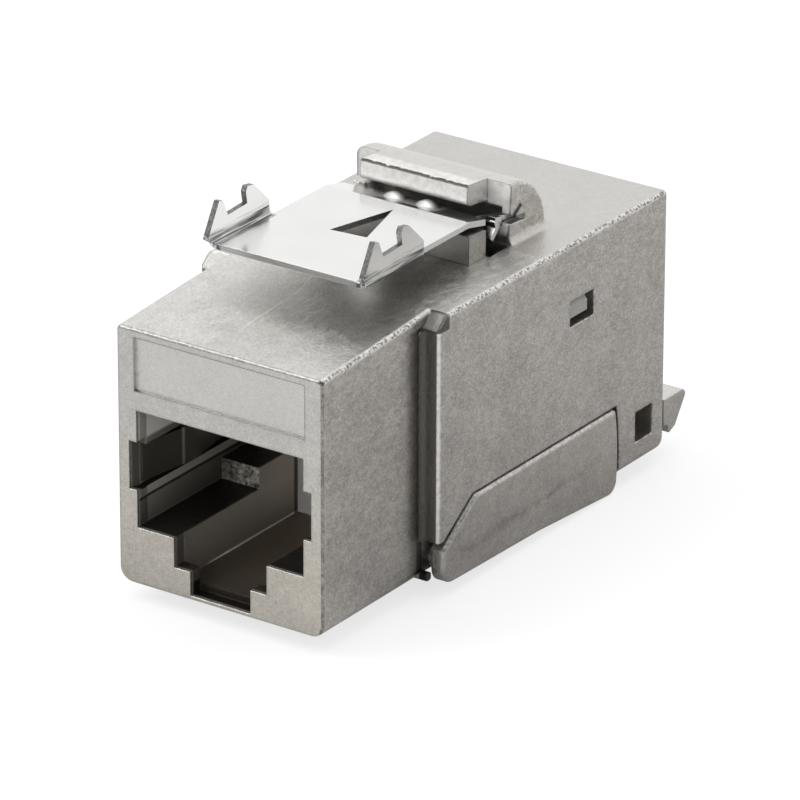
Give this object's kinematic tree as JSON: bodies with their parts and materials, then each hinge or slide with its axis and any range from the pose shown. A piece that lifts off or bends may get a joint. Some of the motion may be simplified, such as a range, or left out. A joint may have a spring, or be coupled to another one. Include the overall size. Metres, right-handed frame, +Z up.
{
  "type": "keystone jack",
  "caption": "Shielded keystone jack: die-cast metal body with a modular socket in its nose, a sprung panel latch on top, a hinged press door below and a rear cap with a cable hole.",
  "frame": {"origin": "centre of the base of the jack's bounding box: on the symmetry plane, half way along, at the lowest point of the press door", "axes": "+X to the right seen from the socket, +Y from the socket face to the cable side, +Z up through the latch"},
  "size_m": [0.0172, 0.0365, 0.0228],
  "materials": {
    "zinc_casting": "satin nickel plating on a fine-grained zinc casting",
    "sheet_steel": "bright rolled stainless sheet",
    "spring_steel": "dull spring strip",
    "insert_plastic": "matt moulded",
    "block_plastic": "matt moulded",
    "manager_plastic": "matt moulded",
    "board_laminate": "solder resist",
    "gold_contact": "gold flash",
    "tinned_bronze": "tin plated"
  },
  "bodies": {
    "shell": {"housing": "zinc_casting", "rear_cap": "zinc_casting", "screen_clip": "spring_steel", "jack_insert": "insert_plastic", "circuit_board": "board_laminate", "idc_block": "block_plastic", "wire_manager": "manager_plastic", "shield_spring_left": "spring_steel", "shield_spring_right": "spring_steel", "idc_blade_1": "tinned_bronze", "idc_blade_2": "tinned_bronze", "idc_blade_3": "tinned_bronze", "idc_blade_4": "tinned_bronze", "idc_blade_5": "tinned_bronze", "idc_blade_6": "tinned_bronze", "idc_blade_7": "tinned_bronze", "idc_blade_8": "tinned_bronze"},
    "latch": {"latch_spring": "sheet_steel"},
    "door": {"press_door": "zinc_casting"},
    "contacts": {"plug_contact_1": "gold_contact", "plug_contact_2": "gold_contact", "plug_contact_3": "gold_contact", "plug_contact_4": "gold_contact", "plug_contact_5": "gold_contact", "plug_contact_6": "gold_contact", "plug_contact_7": "gold_contact", "plug_contact_8": "gold_contact"}
  },
  "joints": [
    {"name": "latch_rock", "type": "hinge", "parent": "shell", "child": "latch", "pos_m": [0, 0.00075, 0.02007], "axis": [1, 0, 0], "range_deg": [0, 8], "stiffness_Nm_per_rad": 0.2, "springref_deg": -2.86},
    {"name": "door_swing", "type": "hinge", "parent": "shell", "child": "door", "pos_m": [0, -0.00695, 0.00227], "axis": [1, 0, 0], "range_deg": [-80, 0]},
    {"name": "contact_flex", "type": "hinge", "parent": "shell", "child": "contacts", "pos_m": [0, -0.01305, 0.01337], "axis": [1, 0, 0], "range_deg": [0, 5], "stiffness_Nm_per_rad": 0.05, "springref_deg": -2.86}
  ]
}
